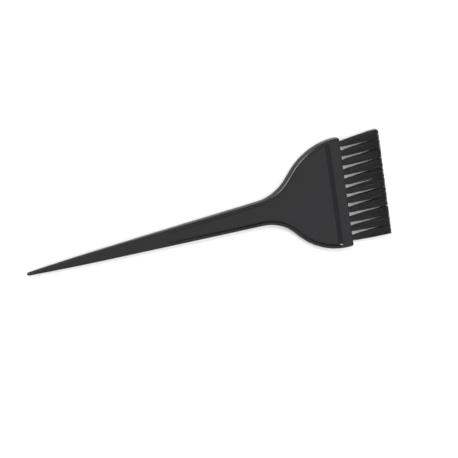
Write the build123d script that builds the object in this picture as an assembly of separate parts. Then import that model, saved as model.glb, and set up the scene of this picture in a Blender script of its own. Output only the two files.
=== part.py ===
from build123d import *
import os

# A tint brush: a moulded rat-tail handle, with eleven bristle tufts in one row along its bar.
# It is modelled with X from the tail's tip (X = 0) to the bristle ends, Y across the head and
# Z out of the face, and with the moulding's parting plane at Z = 0. Each piece is moved to the
# part's own origin, under the middle of the brush, as it is written. Sizes are in millimetres.

# Overall sizes
overall_length = 215.0
bristle_length = 24.3
body_thickness = 5.2
tail_tip_thickness = 2.0
full_thickness_from = 110.0
draft_angle = 4.0
edge_rounding = 0.8
bar_front = overall_length - bristle_length
face_z = body_thickness / 2

# Corners of the half outline, from the tail to the bar, and the radius that rounds each one
tail_tip = (0.0, 0.85)
tail_corner = (26.5, 2.6)
waist_corner = (148.3, 7.45)
shoulder_corner = (170.9, 32.3)
front_corner = (bar_front, 32.1)
tail_tip_radius = 0.8
tail_radius = 1600.0
waist_radius = 26.5
shoulder_radius = 40.0
front_radius = 1.2
thickness_blend_radius = 3000.0

# Recess in each face, inside a raised rim
recess_start = 80.5
recess_end = 184.2
rim_width = 1.8
recess_start_radius = 1.9
recess_corner_radius = 1.8
recess_depth_at_start = 0.55
recess_depth_at_end = 1.2
recess_wall_draft = 26.0
recess_floor_rounding = 0.6
rim_rounding = 0.4
bar_ramp_run = 2.6

# Tuft holes in the bar, and what is fixed in them
tuft_count = 11
tuft_pitch = 5.56
hole_radius = 1.75
hole_depth = 5.6
root_clearance = 0.05
anchor_length = 4.1
anchor_width = 1.7
anchor_thickness = 0.35
anchor_from_bottom = 0.6
anchor_x = bar_front - hole_depth + anchor_from_bottom + anchor_width / 2

# Free length of each tuft, which turns about the middle of its rounded root
tuft_gap_to_bar = 0.3
tuft_root_half_thickness = 1.7
tuft_end_half_thickness = 2.2
tuft_root_width = 4.1
tuft_end_width = 5.2
tuft_splay = 0.2
hinge_x = bar_front + tuft_gap_to_bar + tuft_root_half_thickness

overcut = 1.0
touching = 0.001
base = Pos(-overall_length / 2, 0, face_z)


def mirrored(points):
    """The points, then their mirror images across the X axis, in the order of a closed loop."""
    return points + [(x, -y) for x, y in reversed(points)]


def closed_face(points, radii):
    """A face from half of its corners and their radii. The other half is the mirror image."""
    return make_face(FilletPolyline(*mirrored(points), radius=radii + radii[::-1], close=True))


def along(start, end, x):
    """The point with the given x on the line through two points."""
    slope = (end[1] - start[1]) / (end[0] - start[0])
    return (x, start[1] + (x - start[0]) * slope)


def thickness_at(x):
    """Half of the body's thickness along the tapering tail."""
    return along((0, tail_tip_thickness / 2), (full_thickness_from, face_z), x)[1]


def handle_outline():
    """The handle's outline at the parting plane, as a face."""
    corners = [tail_tip, tail_corner, waist_corner, shoulder_corner, front_corner]
    radii = [tail_tip_radius, tail_radius, waist_radius, shoulder_radius, front_radius]
    return closed_face(corners, radii)


def walls_of(shape):
    """The faces of a moulded shape that stand up from its parting plane."""
    return shape.faces().filter_by(lambda face: abs(face.normal_at().Z) < 0.5)


def handle_blank():
    """The drafted outline, as thick as the side view allows, with its outer edges rounded."""
    upper_half = extrude(handle_outline(), amount=face_z)
    upper_half = draft(walls_of(upper_half), Plane.XY, draft_angle)
    thickness = [
        (-overcut, thickness_at(-overcut)),
        (full_thickness_from, face_z),
        (bar_front + overcut, face_z),
    ]
    side_view = Plane.XZ * closed_face(thickness, [0, thickness_blend_radius, 0])
    both_halves = upper_half + mirror(upper_half, about=Plane.XY)
    blank = both_halves & extrude(side_view, amount=2 * front_corner[1], both=True)
    walls = walls_of(blank)
    wall_edges = walls.edges()
    flats = blank.faces().filter_by(lambda face: abs(face.normal_at().Z) >= 0.5)
    outer_edges = [edge for edge in flats.edges() if any(edge.is_same(wall) for wall in wall_edges)]
    return fillet(outer_edges, edge_rounding)


def recess_outline():
    """The edge of the recess in the face: one rim's width inside the handle's outline."""
    inside_rim = offset(handle_outline(), -rim_width)
    length = recess_end - recess_start
    face = inside_rim & Pos(recess_start + length / 2, 0) * Rectangle(length, 2 * front_corner[1])
    start_corners = face.vertices().group_by(Axis.X)[0]
    face = fillet(start_corners, recess_start_radius)
    bar_corners = face.vertices().group_by(Axis.X)[-1]
    return fillet(bar_corners, recess_corner_radius)


def recess():
    """The cut for the upper recess: drafted walls, and a floor that deepens up to the bar's ramp."""
    outline = Pos(0, 0, face_z) * recess_outline()
    drafted = extrude(outline, amount=-face_z, taper=recess_wall_draft)
    floor_and_ramp = Polyline(
        (recess_start, thickness_at(recess_start) - recess_depth_at_start),
        (recess_end - bar_ramp_run, face_z - recess_depth_at_end),
        (recess_end, face_z),
        (recess_start, face_z),
        close=True,
    )
    above_floor = extrude(Plane.XZ * make_face(floor_and_ramp), amount=front_corner[1], both=True)
    cut = drafted & above_floor
    open_side = cut.faces().filter_by(lambda face: face.normal_at().Z > 0.9)
    floor = cut.faces().filter_by(lambda face: face.normal_at().Z < -0.8)
    return fillet(floor.edges() - open_side.edges(), recess_floor_rounding)


def tuft_y(number):
    """Where a tuft's middle lies across the bar. Tuft 1 is at the -Y end."""
    return (number - (tuft_count + 1) / 2) * tuft_pitch


def tuft_hole():
    return Pos(bar_front, 0, 0) * Cylinder(
        hole_radius,
        hole_depth,
        rotation=(0, -90, 0),
        align=(Align.CENTER, Align.CENTER, Align.MIN),
    )


def anchor():
    """A piece of flat wire across the tuft hole. Its ends bite into the bar on each side."""
    return Pos(anchor_x, 0, 0) * Box(anchor_width, anchor_length, anchor_thickness)


def handle():
    """The moulded handle, with a recess in both faces and a row of holes in its bar."""
    blank = handle_blank()
    upper_cut = recess()
    lower_cut = mirror(upper_cut, about=Plane.XY)
    body = blank - upper_cut - lower_cut

    def on(edge, solid):
        return Vertex(*edge.position_at(0.5)).distance_to(solid.shell()) < touching

    rim_edges = [
        edge
        for edge in body.edges()
        if on(edge, blank) and (on(edge, upper_cut) or on(edge, lower_cut))
    ]
    body = fillet(rim_edges, rim_rounding)
    seat = tuft_hole() + anchor()
    return body - [Pos(0, tuft_y(number), 0) * seat for number in tuft_numbers]


def tuft_root():
    """The folded end of a tuft, which fills its hole on both sides of the anchor."""
    fold = Pos(bar_front, 0, 0) * Cylinder(
        hole_radius - root_clearance,
        hole_depth - root_clearance,
        rotation=(0, -90, 0),
        align=(Align.CENTER, Align.CENTER, Align.MIN),
    )
    return fold - anchor()


def tuft(number):
    """The free length of a tuft: round in side view at its root, and wider towards its end."""
    middle = (tuft_count + 1) / 2
    root_x = hinge_x - tuft_root_half_thickness
    plan = Polyline(
        (root_x, -tuft_root_width / 2),
        (overall_length, -tuft_end_width / 2),
        (overall_length, tuft_end_width / 2),
        (root_x, tuft_root_width / 2),
        close=True,
    )
    root_top = (hinge_x, tuft_root_half_thickness)
    root_bottom = (hinge_x, -tuft_root_half_thickness)
    end_top = (overall_length, tuft_end_half_thickness)
    end_bottom = (overall_length, -tuft_end_half_thickness)
    side = ThreePointArc(root_top, (root_x, 0), root_bottom)
    side += Polyline(root_bottom, end_bottom, end_top, root_top)
    shape = extrude(make_face(plan), amount=face_z, both=True)
    shape &= extrude(Plane.XZ * make_face(side), amount=tuft_pitch, both=True)
    splayed = Pos(hinge_x, 0, 0) * Rot(0, 0, (number - middle) * tuft_splay) * Pos(-hinge_x, 0, 0)
    return Pos(0, tuft_y(number), 0) * splayed * shape


tuft_numbers = range(1, tuft_count + 1)
os.makedirs("parts", exist_ok=True)
export_step(base * handle(), "parts/handle.step")
anchors = Compound([base * Pos(0, tuft_y(number), 0) * anchor() for number in tuft_numbers])
export_step(anchors, "parts/anchor_staples.step")
for number in tuft_numbers:
    root = base * Pos(0, tuft_y(number), 0) * tuft_root()
    export_step(root, f"parts/tuft_root_{number:02d}.step")
    export_step(base * tuft(number), f"parts/tuft_{number:02d}.step")
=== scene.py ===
import math

import bpy
import numpy as np
from mathutils import Matrix, Vector


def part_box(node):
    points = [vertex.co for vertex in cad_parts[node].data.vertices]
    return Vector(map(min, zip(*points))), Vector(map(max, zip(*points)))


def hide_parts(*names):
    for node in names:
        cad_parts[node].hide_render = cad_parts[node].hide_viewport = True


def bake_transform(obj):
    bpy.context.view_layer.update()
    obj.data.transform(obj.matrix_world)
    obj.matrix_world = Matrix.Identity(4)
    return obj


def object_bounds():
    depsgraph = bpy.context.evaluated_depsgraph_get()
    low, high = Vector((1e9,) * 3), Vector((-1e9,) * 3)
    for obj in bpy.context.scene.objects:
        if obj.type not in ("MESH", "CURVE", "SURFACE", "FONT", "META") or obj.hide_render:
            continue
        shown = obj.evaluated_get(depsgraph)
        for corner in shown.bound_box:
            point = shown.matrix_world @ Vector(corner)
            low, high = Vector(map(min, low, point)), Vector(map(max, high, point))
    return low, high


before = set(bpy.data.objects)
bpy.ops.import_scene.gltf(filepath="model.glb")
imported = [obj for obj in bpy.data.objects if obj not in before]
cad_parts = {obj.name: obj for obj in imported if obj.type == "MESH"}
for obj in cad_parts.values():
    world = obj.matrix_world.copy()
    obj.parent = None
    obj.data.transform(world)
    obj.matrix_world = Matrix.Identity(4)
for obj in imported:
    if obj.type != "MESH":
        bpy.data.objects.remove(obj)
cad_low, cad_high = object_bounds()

# A tint brush: a moulded charcoal handle, and a row of tufts of black nylon filaments folded
# over flat anchors. Everything is in metres, in the CAD frame: X runs from the tail's tip to
# the bristle ends, Y across the head, and the brush lies on the floor at Z = 0.

MM = 0.001

# ---------------------------------------------------------------------------------------------
# Node material helpers
# ---------------------------------------------------------------------------------------------


def feed(tree, socket, value):
    """Links a socket to another node's output, or gives it a plain value."""
    if isinstance(value, bpy.types.NodeSocket):
        tree.links.new(value, socket)
    else:
        socket.default_value = value


class Nodes:
    """Builds one procedural material. Each call adds a node, and returns its main output."""

    # A mix node has a set of sockets for each kind of data. These are the ones for colour
    FIRST_COLOUR, SECOND_COLOUR, MIXED_COLOUR = 6, 7, 2

    def __init__(self, name):
        self.material = bpy.data.materials.new(name)
        self.material.use_nodes = True
        self.tree = self.material.node_tree
        self.tree.nodes.clear()
        self.place = self.add("ShaderNodeTexCoord").outputs["Object"]

    def add(self, kind, inputs=None, **settings):
        node = self.tree.nodes.new(kind)
        for setting, value in settings.items():
            setattr(node, setting, value)
        for socket, value in (inputs or {}).items():
            feed(self.tree, node.inputs[socket], value)
        return node

    def stretched(self, scale, turn=(0, 0, 0)):
        """Object coordinates, scaled by a different amount along each axis."""
        inputs = {"Vector": self.place, "Scale": scale, "Rotation": turn}
        return self.add("ShaderNodeMapping", inputs).outputs["Vector"]

    def noise(self, scale, detail=3.0, roughness=0.5, distortion=0.0, vector=None):
        inputs = {
            "Vector": vector or self.place,
            "Scale": scale,
            "Detail": detail,
            "Roughness": roughness,
            "Distortion": distortion,
        }
        return self.add("ShaderNodeTexNoise", inputs).outputs["Fac"]

    def remap(self, value, old_low, old_high, new_low, new_high):
        inputs = {
            "Value": value,
            "From Min": old_low,
            "From Max": old_high,
            "To Min": new_low,
            "To Max": new_high,
        }
        return self.add("ShaderNodeMapRange", inputs).outputs["Result"]

    def math(self, operation, first, second):
        return self.add("ShaderNodeMath", {0: first, 1: second}, operation=operation).outputs[0]

    def weighted(self, first, second, second_share):
        """The mean of two values, where the second counts for that share."""
        first_part = self.math("MULTIPLY", first, 1 - second_share)
        second_part = self.math("MULTIPLY", second, second_share)
        return self.math("ADD", first_part, second_part)

    def mix(self, share, first, second):
        inputs = {0: share, self.FIRST_COLOUR: first, self.SECOND_COLOUR: second}
        return self.add("ShaderNodeMix", inputs, data_type="RGBA").outputs[self.MIXED_COLOUR]

    def bump(self, height, distance, strength=1.0, below=None):
        inputs = {"Height": height, "Distance": distance, "Strength": strength}
        if below is not None:
            inputs["Normal"] = below
        return self.add("ShaderNodeBump", inputs).outputs["Normal"]

    def finish(self, **inputs):
        """Adds the shader and the output, and returns the material."""
        named = {socket.replace("_", " "): value for socket, value in inputs.items()}
        shader = self.add("ShaderNodeBsdfPrincipled", named)
        output = self.add("ShaderNodeOutputMaterial")
        self.tree.links.new(shader.outputs["BSDF"], output.inputs["Surface"])
        return self.material


def grey(level, warmth=0.0):
    """A near-neutral colour of that linear level. Warmth is the share that red has over blue."""
    return (level * (1 + warmth / 2), level, level * (1 - warmth / 2), 1.0)


# ---------------------------------------------------------------------------------------------
# Materials
#
# Noise scales are in cycles per metre, so a scale of 1000 has features of about a millimetre.
# Three scales are for X, Y and Z. Limits are the range of a noise over which a share rises.
# ---------------------------------------------------------------------------------------------

WHITE = (1.0, 1.0, 1.0, 1.0)

PLASTIC_DARK = (0.0036, 0.0028, 0.0041, 1.0)
PLASTIC_LIGHT = (0.0050, 0.0041, 0.0057, 1.0)
# Lighter colour for scratches, which is real wear, and for convex edges, where it is partly real
# wear and partly a painted highlight
PLASTIC_WEAR_AND_HIGHLIGHT = grey(0.034, -0.03)
PLASTIC_SPECULAR = 0.235
PLASTIC_ROUGHNESS = (0.22, 0.29)
FLOW_SCALE = (28, 70, 70)
FLOW_HEIGHT = 0.05 * MM
GRAIN_SCALE = 5200.0
GRAIN_HEIGHT = 0.003 * MM
SPECKLE_SCALE = 1500.0
SPECKLE_SHARE = 0.35
TONE_LIMITS = (0.36, 0.62)
SCRATCH_SCALE = (90, 5200, 3000)
SCRATCH_SLANT = (0, 0, 0.22)
SCRATCH_LIMITS = (0.66, 0.72)
SCRATCH_PALENESS = 0.25
# The edge mask below lightens convex edges: partly real wear, partly a painted highlight
EDGE_WEAR_RADIUS = 0.5 * MM
EDGE_COSINES = (0.995, 0.88)
RUB_SCALE = 180.0
RUB_LIMITS = (0.42, 0.66)
RUB_SHARE = (0.1, 0.75)
RUB_POLISH = 0.12

NYLON_DARK = (0.0040, 0.0036, 0.0044, 1.0)
NYLON_LIGHT = (0.0122, 0.0113, 0.0132, 1.0)
NYLON_SPECULAR = 0.30
NYLON_ROUGHNESS = (0.30, 0.44)
NYLON_LINE_SCALE = (260, 9000, 9000)
NYLON_LINE_HEIGHT = 0.006 * MM
NYLON_LINE_SHARE = 0.3

POLYMER_IOR = 1.5

STEEL_DARK = grey(0.48, 0.04)
STEEL_LIGHT = grey(0.66, 0.05)
STEEL_ROUGHNESS = (0.24, 0.42)
STEEL_MOTTLE_SCALE = 900.0
STEEL_MOTTLE_LIMITS = (0.35, 0.65)
DRAW_LINE_SCALE = (9000, 300, 9000)
DRAW_LINE_HEIGHT = 0.004 * MM

PAPER_DARK = grey(0.83)
PAPER_LIGHT = grey(0.87)
PAPER_ROUGHNESS = 0.8
PAPER_TOOTH_SCALE = 1400.0
PAPER_TOOTH_HEIGHT = 0.01 * MM
FLOOR_GLOW = 0.12

# The range of plain noise that spreads over a whole range of roughness
ROUGHNESS_LIMITS = (0.3, 0.7)


def edge_wear_and_highlight(n):
    """How worn and highlit each place is: only edges, where a rounded normal leans away, and in
    patches. The lighter edges are partly real wear and partly a painted highlight.
    """
    rounded = n.add("ShaderNodeBevel", {"Radius": EDGE_WEAR_RADIUS}, samples=6).outputs["Normal"]
    true_normal = n.add("ShaderNodeNewGeometry").outputs["Normal"]
    facing = n.add("ShaderNodeVectorMath", {0: rounded, 1: true_normal}, operation="DOT_PRODUCT")
    edge = n.remap(facing.outputs["Value"], *EDGE_COSINES, 0.0, 1.0)
    patches = n.remap(n.noise(RUB_SCALE, detail=4.0), *RUB_LIMITS, *RUB_SHARE)
    return n.math("MULTIPLY", edge, patches)


def handle_plastic():
    """Satin moulded plastic: spark-eroded grain, faint flow marks, fine scratches, worn edges. The
    lighter edges are partly real wear and partly a painted highlight.
    """
    n = Nodes("handle_plastic")
    flow = n.noise(1.0, detail=2.0, distortion=0.6, vector=n.stretched(FLOW_SCALE))
    grain = n.noise(GRAIN_SCALE, detail=2.0, roughness=0.6)
    speckle = n.noise(SPECKLE_SCALE, detail=4.0, roughness=0.7)
    scratches = n.noise(1.0, detail=3.0, vector=n.stretched(SCRATCH_SCALE, SCRATCH_SLANT))
    scratch_lines = n.remap(scratches, *SCRATCH_LIMITS, 0.0, 1.0)
    wear_and_highlight = edge_wear_and_highlight(n)

    tone = n.remap(n.weighted(flow, speckle, SPECKLE_SHARE), *TONE_LIMITS, 0.0, 1.0)
    colour = n.mix(tone, PLASTIC_DARK, PLASTIC_LIGHT)
    # Painted highlight along convex edges, partly real wear: the edges get the lighter colour
    colour = n.mix(wear_and_highlight, colour, PLASTIC_WEAR_AND_HIGHLIGHT)
    colour = n.mix(n.math("MULTIPLY", scratch_lines, SCRATCH_PALENESS), colour, PLASTIC_WEAR_AND_HIGHLIGHT)

    roughness = n.remap(speckle, *ROUGHNESS_LIMITS, *PLASTIC_ROUGHNESS)
    roughness = n.math("SUBTRACT", roughness, n.math("MULTIPLY", wear_and_highlight, RUB_POLISH))
    relief = n.bump(flow, FLOW_HEIGHT, strength=0.5)
    relief = n.bump(grain, GRAIN_HEIGHT, below=relief)
    return n.finish(
        Base_Color=colour,
        Roughness=roughness,
        Normal=relief,
        IOR=POLYMER_IOR,
        Specular_IOR_Level=PLASTIC_SPECULAR,
    )


def bristle_nylon():
    """Extruded black nylon: each filament has its own tone, with fine lines along its length."""
    n = Nodes("bristle_nylon")
    own_tone = n.add("ShaderNodeAttribute", attribute_name="filament_tone").outputs["Fac"]
    lines = n.noise(1.0, detail=2.0, vector=n.stretched(NYLON_LINE_SCALE))
    colour = n.mix(n.weighted(own_tone, lines, NYLON_LINE_SHARE), NYLON_DARK, NYLON_LIGHT)
    return n.finish(
        Base_Color=colour,
        Roughness=n.remap(lines, *ROUGHNESS_LIMITS, *NYLON_ROUGHNESS),
        Normal=n.bump(lines, NYLON_LINE_HEIGHT, strength=0.6),
        IOR=POLYMER_IOR,
        Specular_IOR_Level=NYLON_SPECULAR,
    )


def anchor_metal():
    """Flat drawn steel wire: long draw lines, and a slight mottle."""
    n = Nodes("anchor_metal")
    draw_lines = n.noise(1.0, detail=4.0, vector=n.stretched(DRAW_LINE_SCALE))
    mottle = n.remap(n.noise(STEEL_MOTTLE_SCALE, detail=3.0), *STEEL_MOTTLE_LIMITS, 0.0, 1.0)
    return n.finish(
        Base_Color=n.mix(mottle, STEEL_DARK, STEEL_LIGHT),
        Roughness=n.remap(draw_lines, *ROUGHNESS_LIMITS, *STEEL_ROUGHNESS),
        Normal=n.bump(draw_lines, DRAW_LINE_HEIGHT, strength=0.8),
        Metallic=1.0,
    )


def floor_paper():
    """A plain near-white sheet with a very faint tooth, and a slight glow of its own."""
    n = Nodes("floor_paper")
    tooth = n.noise(PAPER_TOOTH_SCALE, detail=3.0)
    return n.finish(
        Base_Color=n.mix(tooth, PAPER_DARK, PAPER_LIGHT),
        Roughness=PAPER_ROUGHNESS,
        Specular_IOR_Level=0.0,
        Normal=n.bump(tooth, PAPER_TOOTH_HEIGHT, strength=0.3),
        Emission_Color=WHITE,
        Emission_Strength=FLOOR_GLOW,
    )


# ---------------------------------------------------------------------------------------------
# Handle and anchors: CAD meshes that keep their shape and get their materials here
# ---------------------------------------------------------------------------------------------


def give_material(node, material):
    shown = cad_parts[node]
    shown.data.materials.clear()
    shown.data.materials.append(material)


give_material("handle", handle_plastic())
give_material("anchor_staples", anchor_metal())

# ---------------------------------------------------------------------------------------------
# Tufts of filaments: sizes from the frame
# ---------------------------------------------------------------------------------------------

ROOTS = sorted(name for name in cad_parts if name.startswith("tuft_root_"))
TUFT_COUNT = len(ROOTS)

OVER_LENGTH = 0.6 * MM

handle_low, handle_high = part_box("handle")
BAR_FRONT = handle_high.x
BRISTLE_END = cad_high.x
FREE_LENGTH = BRISTLE_END - BAR_FRONT + OVER_LENGTH
MID_Z = (handle_low.z + handle_high.z) / 2

root_low, root_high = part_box(ROOTS[0])
HOLE_RADIUS = (root_high.z - root_low.z) / 2
HOLE_BOTTOM = root_low.x
anchor_low, anchor_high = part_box("anchor_staples")
ANCHOR_BACK = anchor_low.x
ANCHOR_HALF_THICKNESS = (anchor_high.z - anchor_low.z) / 2

MIDDLE_TUFT = (TUFT_COUNT + 1) // 2
tuft_low, tuft_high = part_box(f"tuft_{MIDDLE_TUFT:02d}")
END_HALF_WIDTH = (tuft_high.y - tuft_low.y) / 2
END_HALF_THICKNESS = (tuft_high.z - tuft_low.z) / 2


def root_middle(number):
    low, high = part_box(f"tuft_root_{number:02d}")
    return (low.y + high.y) / 2


PITCH = root_middle(2) - root_middle(1)

# ---------------------------------------------------------------------------------------------
# Tufts of filaments: driving values
# ---------------------------------------------------------------------------------------------

# The random numbers of a tuft start from this seed plus the tuft's own number
FIRST_SEED = 500

FILAMENTS_PER_TUFT = 130
FILAMENT_RADIUS = 0.1 * MM
TIP_RADIUS = 0.075 * MM
TIP_TAPER = 2.5 * MM
SIDES = 6

# Stations along a centre line: the free length, the straight part in the hole, and the fold.
# A power below 1 crowds those of the free length towards its end
FREE_STEPS = 9
STEP_POWER = 0.9
HOLE_STEPS = 2
FOLD_STEPS = 5

# A tuft spreads from its hole over a short length, then widens in a straight line until it
# meets its neighbour. Its end goes a little past the middle line between the two
SPREAD_LENGTH = 0.5 * MM
ROOT_HALF_WIDTH = 2.06 * MM
MEETING_HALF_WIDTH = 2.36 * MM
END_OVERLAP = 0.22 * MM

# How far along the free length each gap between neighbouring tufts stays open, from tuft 1 up.
# The straight line ends at a share of that, and the merging starts at a share of the line
GAP_OPEN_SHARE = [0.80, 0.75, 0.96, 0.54, 0.91, 0.71, 0.75, 0.94, 0.90, 0.65]
GAP_NEVER_CLOSES = 99.0
CLOSING_SHARE = 0.82
MERGE_FROM_SHARE = 0.85

# Where along the free length a round tuft has become square, and how nearly square that is
SQUARE_AT_SHARE = 0.5
SQUARENESS = 0.97

# How far the ends are from one line: each filament, each tuft, and the slope across a tuft.
# Only a share of the first two is taken off a filament's length
END_UNEVENNESS = 0.16 * MM
TUFT_END_UNEVENNESS = 0.14 * MM
TUFT_END_SLOPE = 0.03
UNEVENNESS_SHARE = 0.7

# How far filaments wander: at the end, in a bow at mid length, and the few strays. Filaments
# at a tuft's sides have only a share of the freedom, and none rises further than the slack
SIDE_WANDER = 0.16 * MM
BOW_WANDER = SIDE_WANDER * 0.5
STRAY_SHARE = 0.025
STRAY_REACH = 0.45 * MM
SIDE_FREEDOM = 0.25
THICKNESS_SLACK = 0.15 * MM

# The filaments of a tuft gather a little towards a few locks, less so through its thickness.
# The rise is how soon along the length that is complete
LOCKS_PER_TUFT = 7
LOCK_PULL = 0.14
LOCK_PULL_UP = 0.6
LOCK_RISE = 1.1

# How evenly filaments are spread over the round hole, and how much of it they fill
PACKING_FILL = 0.97
PACKING_DISORDER = 0.03
FOLD_PAIR_DISORDER = 0.08
HOLE_FILL_ACROSS = 0.96
HOLE_FILL_UP = 0.97

# How far inside the bar the straight part starts, how near the folds come to the bottom of
# the hole, and how much of that reach the innermost folds have
HOLE_INSET = 0.8 * MM
FOLD_REACH = 0.95
INNER_FOLD_SHARE = 0.35

# A filament's own tone, from 0 to 1
TONE_MEAN = 0.5
TONE_SPREAD = 0.25

# ---------------------------------------------------------------------------------------------
# Tufts of filaments: shape
# ---------------------------------------------------------------------------------------------


def smooth_step(x):
    x = np.clip(x, 0.0, 1.0)
    return x * x * (3 - 2 * x)


def disc_points(count, random):
    """Evenly spread points in a unit disc, each a little out of place."""
    golden_turn = math.pi * (3 - math.sqrt(5))
    index = np.arange(count) + 0.5
    radius = np.sqrt(index / count)
    angle = index * golden_turn
    points = np.stack([radius * np.cos(angle), radius * np.sin(angle)], 1)
    return points * PACKING_FILL + random.normal(0, PACKING_DISORDER, points.shape)


def squared(points):
    """Moves evenly spread points in a unit disc to be evenly spread in a square, nearly."""
    radius = np.linalg.norm(points, axis=1)
    angle = np.arctan2(points[:, 1], points[:, 0])
    quarter = np.round(angle / (math.pi / 2)) * (math.pi / 2)
    along_side = radius * (angle - quarter) / (math.pi / 4)
    across = np.cos(quarter) * radius - np.sin(quarter) * along_side
    up = np.sin(quarter) * radius + np.cos(quarter) * along_side
    return np.stack([across, up], 1) * SQUARENESS + points * (1 - SQUARENESS)


def half_width(along, gap_share):
    """Half of a tuft's width on one side: a straight wedge of gap, then on until tufts merge."""
    width = HOLE_RADIUS + (ROOT_HALF_WIDTH - HOLE_RADIUS) * smooth_step(along / SPREAD_LENGTH)
    if gap_share == GAP_NEVER_CLOSES:
        return width + (END_HALF_WIDTH - ROOT_HALF_WIDTH) * along / FREE_LENGTH
    closed_at = FREE_LENGTH * gap_share * CLOSING_SHARE
    wedge = (MEETING_HALF_WIDTH - ROOT_HALF_WIDTH) * np.minimum(along / closed_at, 1.0)
    merge_from = closed_at * MERGE_FROM_SHARE
    merged = smooth_step((along - merge_from) / (FREE_LENGTH - merge_from))
    return width + wedge + (PITCH / 2 + END_OVERLAP - MEETING_HALF_WIDTH) * merged


def filament_ends(ends, tuft, random):
    """Centre lines of the free ends, as an array of (end, step, xyz), from the hole outwards."""
    count = len(ends)
    across_round, up_round = ends[:, :1], ends[:, 1:]
    square = squared(ends)
    uneven = random.normal(0, END_UNEVENNESS / 2, (count, 1)) + tuft["end_offset"]
    slope = tuft["end_slope"] * square[:, :1] * END_HALF_WIDTH
    length = FREE_LENGTH - np.abs(uneven) * UNEVENNESS_SHARE + np.minimum(slope, 0)
    steps = np.linspace(0, 1, FREE_STEPS) ** STEP_POWER
    along = length * steps
    opened = np.minimum(along / (FREE_LENGTH * SQUARE_AT_SHARE), 1.0)

    low_side = half_width(along, tuft["gap_below"])
    high_side = half_width(along, tuft["gap_above"])
    share = across_round + (square[:, :1] - across_round) * opened
    across = np.where(share < 0, share * low_side, share * high_side)
    half_thickness = HOLE_RADIUS + (END_HALF_THICKNESS - HOLE_RADIUS) * along / FREE_LENGTH
    up_share = up_round + (square[:, 1:] - up_round) * opened
    up = up_share * (half_thickness - FILAMENT_RADIUS)

    locks = random.uniform(-1, 1, (LOCKS_PER_TUFT, 2))
    nearest = np.argmin(((square[:, None] - locks[None]) ** 2).sum(2), 1)
    towards = locks[nearest] - square
    gather = LOCK_PULL * smooth_step(steps * LOCK_RISE)[None]
    free_to_move = 1 - np.clip(square[:, :1] ** 2, 0, 1)
    across = across + towards[:, :1] * gather * low_side * free_to_move
    up = up + towards[:, 1:] * gather * half_thickness * LOCK_PULL_UP

    bend = (along / FREE_LENGTH) ** 2
    bow = np.sin(along / FREE_LENGTH * math.pi)
    side_freedom = SIDE_FREEDOM + (1 - SIDE_FREEDOM) * free_to_move
    for axis_values, freedom in ((across, side_freedom), (up, 1.0)):
        axis_values += random.normal(0, SIDE_WANDER, (count, 1)) * bend * freedom
        axis_values += random.normal(0, BOW_WANDER, (count, 1)) * bow * freedom
    stray = (random.random((count, 1)) < STRAY_SHARE) * random.normal(0, STRAY_REACH, (count, 1))
    across = across + stray * bend
    limit = END_HALF_THICKNESS + THICKNESS_SLACK
    up = np.clip(up, -limit, limit)
    y = tuft["middle"] + across + along * tuft["splay"]
    return np.stack([BAR_FRONT + along, y, MID_Z + up], 2)


def in_pair_order(half_disc, random):
    """Orders one half of the ends across the tuft, so that each pairs with one in the other."""
    disorder = random.normal(0, FOLD_PAIR_DISORDER, len(half_disc))
    return half_disc[np.argsort(half_disc[:, 0] + disorder)]


def fold_points(start, end):
    """Points of the fold behind the anchor, from one straight part to the other."""
    reach = (ANCHOR_BACK - HOLE_BOTTOM - FILAMENT_RADIUS) * FOLD_REACH
    size = np.abs(start[:, 2] - MID_Z) / HOLE_RADIUS
    depth = reach * (INNER_FOLD_SHARE + (1 - INNER_FOLD_SHARE) * size)
    stations = []
    for angle in np.linspace(0, math.pi, FOLD_STEPS + 2)[1:-1]:
        share = (1 - math.cos(angle)) / 2
        points = start * (1 - share) + end * share
        points[:, 0] = ANCHOR_BACK - depth * math.sin(angle)
        stations.append(points)
    return np.stack(stations, 1)


def folded_centre_lines(tuft, random):
    """Centre lines of whole filaments: in along the hole, round the anchor and out again."""
    count = FILAMENTS_PER_TUFT
    disc = disc_points(count * 2, random)
    disc = disc[disc[:, 1].argsort()]
    upper = in_pair_order(disc[count:], random)
    lower = in_pair_order(disc[:count], random)
    room = (HOLE_RADIUS - FILAMENT_RADIUS) / HOLE_RADIUS
    clear = (ANCHOR_HALF_THICKNESS + FILAMENT_RADIUS) / HOLE_RADIUS

    halves = []
    for ends, side in ((upper * room, 1), (lower * room, -1)):
        free = filament_ends(ends, tuft, random)
        inside_y = tuft["middle"] + ends[:, 0] * HOLE_RADIUS * HOLE_FILL_ACROSS
        depth = np.maximum(np.abs(ends[:, 1]), clear)
        inside_z = MID_Z + side * depth * HOLE_RADIUS * HOLE_FILL_UP
        stations = np.linspace(BAR_FRONT - HOLE_INSET, ANCHOR_BACK, HOLE_STEPS)
        inside = [np.stack([np.full(count, x), inside_y, inside_z], 1) for x in stations]
        halves.append(np.concatenate([free[:, ::-1], np.stack(inside, 1)], 1))

    fold = fold_points(halves[0][:, -1], halves[1][:, -1])
    return np.concatenate([halves[0], fold, halves[1][:, ::-1]], 1)


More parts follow.
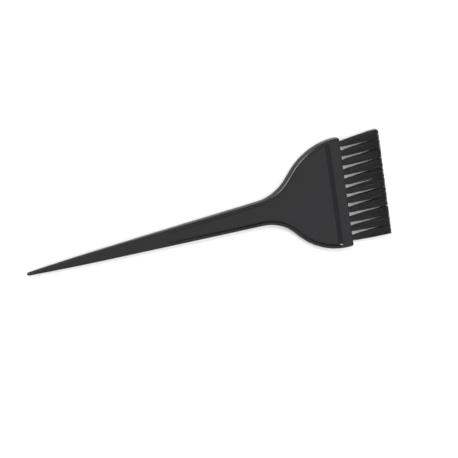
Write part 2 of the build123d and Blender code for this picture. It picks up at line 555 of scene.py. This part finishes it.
def tube_points(centre_lines):
    """Rings of points round each centre line, then the two tips, as (filament, point, xyz)."""
    count = len(centre_lines)
    ahead = np.gradient(centre_lines, axis=1)
    ahead /= np.linalg.norm(ahead, axis=2, keepdims=True)
    sideways = np.array([0.0, 1.0, 0.0]) - ahead * ahead[:, :, 1:2]
    sideways /= np.linalg.norm(sideways, axis=2, keepdims=True)
    upward = np.cross(ahead, sideways)
    step = np.linalg.norm(np.diff(centre_lines, axis=1), axis=2)
    travelled = np.concatenate([np.zeros((count, 1)), np.cumsum(step, 1)], 1)
    from_end = np.minimum(travelled, travelled[:, -1:] - travelled)
    radius = TIP_RADIUS + (FILAMENT_RADIUS - TIP_RADIUS) * smooth_step(from_end / TIP_TAPER)
    angles = np.arange(SIDES) * 2 * math.pi / SIDES
    ring = (
        sideways[:, :, None] * np.cos(angles)[None, None, :, None]
        + upward[:, :, None] * np.sin(angles)[None, None, :, None]
    )
    around = centre_lines[:, :, None] + ring * radius[:, :, None, None]
    outward = ahead[:, [0, -1]] * np.array([-1, 1])[None, :, None]
    tips = centre_lines[:, [0, -1]] + outward * TIP_RADIUS
    return np.concatenate([around.reshape(count, -1, 3), tips], 1)


def tube_faces(rings):
    """Faces of one tube: a band between each pair of rings, and a fan to each tip."""
    sides = [(i, (i + 1) % SIDES) for i in range(SIDES)]
    faces = []
    for k in range(rings - 1):
        low, high = k * SIDES, (k + 1) * SIDES
        faces += [(low + i, low + j, high + j, high + i) for i, j in sides]
    last = (rings - 1) * SIDES
    first_tip = rings * SIDES
    faces += [(first_tip, j, i) for i, j in sides]
    faces += [(first_tip + 1, last + i, last + j) for i, j in sides]
    return faces


def tube_mesh(name, centre_lines, tones):
    """One mesh of round tapered tubes, with a cap at each end and a tone for each filament."""
    points = tube_points(centre_lines)
    per_filament = points.shape[1]
    faces = tube_faces(centre_lines.shape[1])
    all_faces = []
    for offset in range(0, len(centre_lines) * per_filament, per_filament):
        all_faces += [[v + offset for v in face] for face in faces]

    mesh = bpy.data.meshes.new(name)
    mesh.from_pydata(points.reshape(-1, 3).tolist(), [], all_faces)
    mesh.polygons.foreach_set("use_smooth", np.ones(len(mesh.polygons), bool))
    attribute = mesh.attributes.new("filament_tone", "FLOAT", "POINT")
    attribute.data.foreach_set("value", np.repeat(tones, per_filament).astype(np.float32))
    mesh.update()
    return mesh


def tuft_values(number, random):
    """What sets one tuft apart: its place, its lean, its gaps and the line of its ends."""
    middle = root_middle(number)
    free_low, free_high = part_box(f"tuft_{number:02d}")
    lean = (free_low.y + free_high.y) / 2 - middle
    return {
        "middle": middle,
        "splay": lean / (FREE_LENGTH / 2),
        "gap_below": GAP_OPEN_SHARE[number - 2] if number > 1 else GAP_NEVER_CLOSES,
        "gap_above": GAP_OPEN_SHARE[number - 1] if number < TUFT_COUNT else GAP_NEVER_CLOSES,
        "end_offset": random.uniform(-1, 1) * TUFT_END_UNEVENNESS,
        "end_slope": random.uniform(-TUFT_END_SLOPE, TUFT_END_SLOPE),
    }


def add_tuft(number, material):
    """One tuft with its folded root, in place of its two CAD solids."""
    random = np.random.default_rng(FIRST_SEED + number)
    tuft = tuft_values(number, random)
    lines = folded_centre_lines(tuft, random)
    tones = np.clip(random.normal(TONE_MEAN, TONE_SPREAD, len(lines)), 0, 1)
    name = f"bristles_{number:02d}"
    bristles = bpy.data.objects.new(name, tube_mesh(name, lines, tones))
    bpy.context.scene.collection.objects.link(bristles)
    bristles.data.materials.append(material)
    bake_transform(bristles)
    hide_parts(f"tuft_{number:02d}", f"tuft_root_{number:02d}")


nylon = bristle_nylon()
for number in range(1, TUFT_COUNT + 1):
    add_tuft(number, nylon)

# ---------------------------------------------------------------------------------------------
# Floor
# ---------------------------------------------------------------------------------------------

FLOOR_HALF = 3.0
FLOOR_DROP = 0.05 * MM


def add_floor():
    level = cad_low.z - FLOOR_DROP
    corners = [(-FLOOR_HALF, -FLOOR_HALF, level), (FLOOR_HALF, -FLOOR_HALF, level)]
    corners += [(FLOOR_HALF, FLOOR_HALF, level), (-FLOOR_HALF, FLOOR_HALF, level)]
    mesh = bpy.data.meshes.new("floor")
    mesh.from_pydata(corners, [], [(0, 1, 2, 3)])
    floor = bpy.data.objects.new("floor", mesh)
    bpy.context.scene.collection.objects.link(floor)
    floor.data.materials.append(floor_paper())


add_floor()

# ---------------------------------------------------------------------------------------------
# Light
# ---------------------------------------------------------------------------------------------

# The middle of the brush, which the lights face and the camera is placed from
centre = (cad_low + cad_high) / 2

# The sky's brightness is the product of one factor along each axis. Each factor goes from the
# first level to the second as that part of the direction goes from the first value to the other
SKY_ALONG_X = ((-0.6, 0.6), (0.95, 1.95))
SKY_ALONG_Y = ((-0.3, 0.4), (1.0, 0.6))
SKY_ALONG_Z = ((0.2, 0.85), (0.55, 1.0))

BOX_DISTANCE = 1.5


def sky_factor(tree, value, stations, levels):
    """A factor that goes smoothly from one level to another between two values."""
    node = tree.nodes.new("ShaderNodeMapRange")
    node.interpolation_type = "SMOOTHSTEP"
    settings = zip(("From Min", "From Max", "To Min", "To Max"), stations + levels)
    for socket, level in settings:
        node.inputs[socket].default_value = level
    tree.links.new(value, node.inputs["Value"])
    return node.outputs["Result"]


def studio_sky():
    """A plain white sky, brighter beyond the bristles and dimmer near the horizon."""
    world = bpy.data.worlds.new("studio")
    world.use_nodes = True
    tree = world.node_tree
    direction = tree.nodes.new("ShaderNodeTexCoord")
    parts = tree.nodes.new("ShaderNodeSeparateXYZ")
    tree.links.new(direction.outputs["Generated"], parts.inputs["Vector"])
    strength = sky_factor(tree, parts.outputs["X"], *SKY_ALONG_X)
    for axis, (stations, levels) in (("Y", SKY_ALONG_Y), ("Z", SKY_ALONG_Z)):
        product = tree.nodes.new("ShaderNodeMath")
        product.operation = "MULTIPLY"
        tree.links.new(strength, product.inputs[0])
        factor = sky_factor(tree, parts.outputs[axis], stations, levels)
        tree.links.new(factor, product.inputs[1])
        strength = product.outputs[0]
    background = tree.nodes["Background"]
    background.inputs["Color"].default_value = WHITE
    tree.links.new(strength, background.inputs["Strength"])
    return world


def soft_box(name, direction, width, height, radiance):
    """A rectangular light that faces the brush, with the brightness its surface has."""
    light = bpy.data.lights.new(name, "AREA")
    light.shape = "RECTANGLE"
    light.size = width
    light.size_y = height
    light.energy = radiance * math.pi * width * height
    lamp = bpy.data.objects.new(name, light)
    lamp.location = centre + direction.normalized() * BOX_DISTANCE
    lamp.rotation_mode = "QUATERNION"
    lamp.rotation_quaternion = (-direction).to_track_quat("-Z", "Y")
    bpy.context.scene.collection.objects.link(lamp)
    return lamp


bpy.context.scene.world = studio_sky()
soft_box("upper_side", Vector((-0.30, 0.62, 0.74)), width=0.5, height=0.5, radiance=18.0)

# A lit reflector that only shows as the thin light line along the upper edges
reflector = soft_box(
    "reflector", Vector((-0.33, 0.60, 0.72)), width=0.96, height=0.28, radiance=85.0
)
reflector.visible_diffuse = False

# ---------------------------------------------------------------------------------------------
# Camera
# ---------------------------------------------------------------------------------------------

CAMERA_AZIMUTH = math.radians(231.0)
CAMERA_ELEVATION = math.radians(65.0)
CAMERA_DISTANCE = 1.0
CAMERA_ROLL = math.radians(-14.62)
CAMERA_LENS = 142.1
CAMERA_SENSOR = 36.0
AIM_RIGHT = 9.75 * MM
AIM_UP = -1.48 * MM


def add_camera():
    """A camera at the photo's angle, rolled from the brush's length, and aimed off its centre."""
    towards_camera = Vector((
        math.sin(CAMERA_AZIMUTH) * math.cos(CAMERA_ELEVATION),
        -math.cos(CAMERA_AZIMUTH) * math.cos(CAMERA_ELEVATION),
        math.sin(CAMERA_ELEVATION),
    ))
    along_brush = (Vector((1, 0, 0)) - towards_camera * towards_camera.x).normalized()
    across_brush = towards_camera.cross(along_brush)
    right = along_brush * math.cos(CAMERA_ROLL) + across_brush * math.sin(CAMERA_ROLL)
    up = towards_camera.cross(right)
    eye = centre + towards_camera * CAMERA_DISTANCE
    aim = centre + right * AIM_RIGHT + up * AIM_UP
    back = (eye - aim).normalized()
    right = (right - back * right.dot(back)).normalized()
    up = back.cross(right)

    settings = bpy.data.cameras.new("camera")
    settings.sensor_width = CAMERA_SENSOR
    settings.lens = CAMERA_LENS
    settings.clip_start = 0.01
    settings.clip_end = 20.0
    camera = bpy.data.objects.new("camera", settings)
    bpy.context.scene.collection.objects.link(camera)
    camera.matrix_world = Matrix.Translation(eye) @ Matrix((right, up, back)).transposed().to_4x4()
    return camera


bpy.context.scene.camera = add_camera()
bpy.context.scene.view_settings.view_transform = "Standard"
